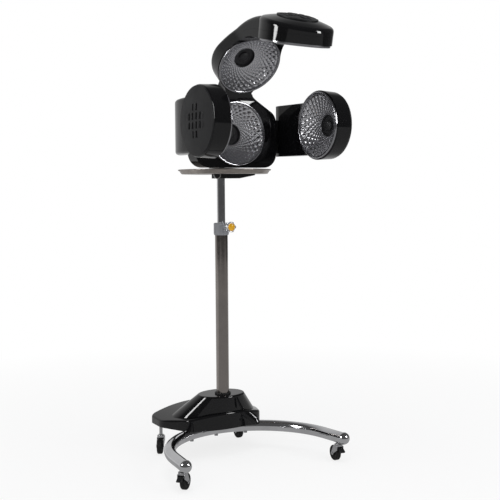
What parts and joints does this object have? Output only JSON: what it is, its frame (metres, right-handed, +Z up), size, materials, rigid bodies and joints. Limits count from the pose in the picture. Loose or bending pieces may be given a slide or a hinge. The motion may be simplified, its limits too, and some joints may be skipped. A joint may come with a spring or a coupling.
{
  "type": "hair color processor",
  "caption": "Floor-standing salon lamp processor: lamp pods on a bent spine with swing arms, telescopic column, tray, curved leg tube and locking casters.",
  "frame": {"origin": "on the floor under the middle of the object's box", "axes": "+Z up, front (the side the lamps face) is -Y, the object's left is +X"},
  "size_m": [0.6189, 0.7451, 1.3924],
  "materials": {
    "black_gloss": "high gloss moulded ABS, black",
    "black_satin": "fine satin grain, black",
    "black_rubber": "matt black rubber",
    "chrome_tube": "polished chrome plate",
    "column_chrome": "dark polished chrome plate",
    "steel": "bright zinc plated",
    "plate_steel": "black painted plate",
    "cast_weight": "rough cast",
    "grey_cast": "satin grey die casting",
    "white_plastic": "natural acetal",
    "knob_chrome": "bright plated plastic",
    "knob_amber": "amber gloss cap",
    "tray_metal": "satin spun sheet",
    "panel_satin": "satin panel",
    "dial_plastic": "satin dial",
    "switch_plastic": "gloss rocker",
    "reflector": "bright dimpled sheet",
    "ring_silver": "plated trim ring",
    "lamp_ceramic": "dark ceramic",
    "fork_steel": "grey pressed steel",
    "wheel_rubber": "black tread"
  },
  "bodies": {
    "base": {"leg_tube": "chrome_tube", "leg_end_balls": "chrome_tube", "leg_bolts": "steel", "base_plate": "plate_steel", "base_cover": "black_gloss", "ballast_weight": "cast_weight", "column_socket": "plate_steel", "outer_column": "column_chrome", "column_grommet": "black_rubber", "clamp_collar": "grey_cast", "collar_bush": "white_plastic", "caster_stems": "steel"},
    "knob": {"clamp_knob": "knob_chrome", "knob_cap": "knob_amber", "clamp_screw": "steel"},
    "lift": {"inner_column": "chrome_tube"},
    "tray": {"tray_dish": "tray_metal", "tray_bracket": "black_satin", "tray_screw": "black_satin", "tray_hook": "steel"},
    "head": {"head_front_shell": "black_gloss", "head_rear_shell": "black_gloss", "head_mount": "black_satin", "top_vent_cap": "black_satin", "shell_screws": "steel", "hinge_lugs": "black_gloss", "hinge_pins": "steel", "control_panel": "panel_satin", "cord_gland": "black_satin", "rear_reflector": "reflector", "upper_reflector": "reflector", "top_reflector": "reflector", "head_trim_rings": "ring_silver", "head_lamps": "lamp_ceramic"},
    "timer": {"timer_dial": "dial_plastic"},
    "upper_switch": {"upper_lamp_switch": "switch_plastic"},
    "side_switch": {"side_lamp_switch": "switch_plastic"},
    "left_arm": {"left_arm_shell": "black_gloss", "left_arm_cap": "black_satin", "left_reflector": "reflector", "left_trim_ring": "ring_silver", "left_lamp": "lamp_ceramic"},
    "right_arm": {"right_arm_shell": "black_gloss", "right_arm_cap": "black_satin", "right_reflector": "reflector", "right_trim_ring": "ring_silver", "right_lamp": "lamp_ceramic"},
    "front_right_caster": {"front_right_fork": "fork_steel"},
    "front_right_roller": {"front_right_wheel": "wheel_rubber"},
    "front_right_pedal": {"front_right_brake": "black_satin"},
    "front_left_caster": {"front_left_fork": "fork_steel"},
    "front_left_roller": {"front_left_wheel": "wheel_rubber"},
    "front_left_pedal": {"front_left_brake": "black_satin"},
    "rear_right_caster": {"rear_right_fork": "fork_steel"},
    "rear_right_roller": {"rear_right_wheel": "wheel_rubber"},
    "rear_right_pedal": {"rear_right_brake": "black_satin"},
    "rear_left_caster": {"rear_left_fork": "fork_steel"},
    "rear_left_roller": {"rear_left_wheel": "wheel_rubber"},
    "rear_left_pedal": {"rear_left_brake": "black_satin"}
  },
  "joints": [
    {"name": "column_slide", "type": "slide", "parent": "base", "child": "lift", "axis": [0, 0, 1], "range_m": [-0.13, 0.2]},
    {"name": "clamp_turn", "type": "hinge", "parent": "base", "child": "knob", "pos_m": [0, 0.178, 0.765], "axis": [0, -1, 0], "range_deg": [-360, 0]},
    {"name": "tray_swivel", "type": "hinge", "parent": "lift", "child": "tray", "pos_m": [0, 0.178, 0.93], "axis": [0, 0, 1], "continuous": true},
    {"name": "head_swivel", "type": "hinge", "parent": "lift", "child": "head", "pos_m": [0, 0.178, 1], "axis": [0, 0, 1], "range_deg": [-170, 170]},
    {"name": "left_arm_hinge", "type": "hinge", "parent": "head", "child": "left_arm", "pos_m": [0.162, 0.112, 1.058], "axis": [0, 0, 1], "range_deg": [-5, 75]},
    {"name": "right_arm_hinge", "type": "hinge", "parent": "head", "child": "right_arm", "pos_m": [-0.162, 0.112, 1.058], "axis": [0, 0, -1], "range_deg": [-5, 75]},
    {"name": "timer_turn", "type": "hinge", "parent": "head", "child": "timer", "pos_m": [-0.045, 0.1393, 1.092], "axis": [0, 1, 0], "range_deg": [0, 300]},
    {"name": "upper_rocker", "type": "hinge", "parent": "head", "child": "upper_switch", "pos_m": [0.018, 0.13905, 1.092], "axis": [1, 0, 0], "range_deg": [0, 16]},
    {"name": "side_rocker", "type": "hinge", "parent": "head", "child": "side_switch", "pos_m": [0.05, 0.13905, 1.092], "axis": [1, 0, 0], "range_deg": [0, 16]},
    {"name": "front_right_swivel", "type": "hinge", "parent": "base", "child": "front_right_caster", "pos_m": [-0.28373, -0.08164, 0.055], "axis": [0, 0, 1], "continuous": true},
    {"name": "front_right_roll", "type": "hinge", "parent": "front_right_caster", "child": "front_right_roller", "pos_m": [-0.26841, -0.06879, 0.025], "axis": [-0.6428, 0.766, 0], "continuous": true},
    {"name": "front_right_press", "type": "hinge", "parent": "front_right_caster", "child": "front_right_pedal", "pos_m": [-0.29062, -0.08743, 0.0448], "axis": [-0.6428, 0.766, 0], "range_deg": [-12, 0]},
    {"name": "front_left_swivel", "type": "hinge", "parent": "base", "child": "front_left_caster", "pos_m": [0.28373, -0.08164, 0.055], "axis": [0, 0, 1], "continuous": true},
    {"name": "front_left_roll", "type": "hinge", "parent": "front_left_caster", "child": "front_left_roller", "pos_m": [0.28582, -0.06175, 0.025], "axis": [-0.9945, 0.1045, 0], "continuous": true},
    {"name": "front_left_press", "type": "hinge", "parent": "front_left_caster", "child": "front_left_pedal", "pos_m": [0.28279, -0.09059, 0.0448], "axis": [-0.9945, 0.1045, 0], "range_deg": [-12, 0]},
    {"name": "rear_right_swivel", "type": "hinge", "parent": "base", "child": "rear_right_caster", "pos_m": [-0.157, 0.328, 0.055], "axis": [0, 0, 1], "continuous": true},
    {"name": "rear_right_roll", "type": "hinge", "parent": "rear_right_caster", "child": "rear_right_roller", "pos_m": [-0.16847, 0.31162, 0.025], "axis": [0.8192, -0.5736, 0], "continuous": true},
    {"name": "rear_right_press", "type": "hinge", "parent": "rear_right_caster", "child": "rear_right_pedal", "pos_m": [-0.15184, 0.33537, 0.0448], "axis": [0.8192, -0.5736, 0], "range_deg": [-12, 0]},
    {"name": "rear_left_swivel", "type": "hinge", "parent": "base", "child": "rear_left_caster", "pos_m": [0.157, 0.328, 0.055], "axis": [0, 0, 1], "continuous": true},
    {"name": "rear_left_roll", "type": "hinge", "parent": "rear_left_caster", "child": "rear_left_roller", "pos_m": [0.1577, 0.34799, 0.025], "axis": [-0.9994, 0.0349, 0], "continuous": true},
    {"name": "rear_left_press", "type": "hinge", "parent": "rear_left_caster", "child": "rear_left_pedal", "pos_m": [0.15669, 0.319, 0.0448], "axis": [-0.9994, 0.0349, 0], "range_deg": [-12, 0]}
  ]
}
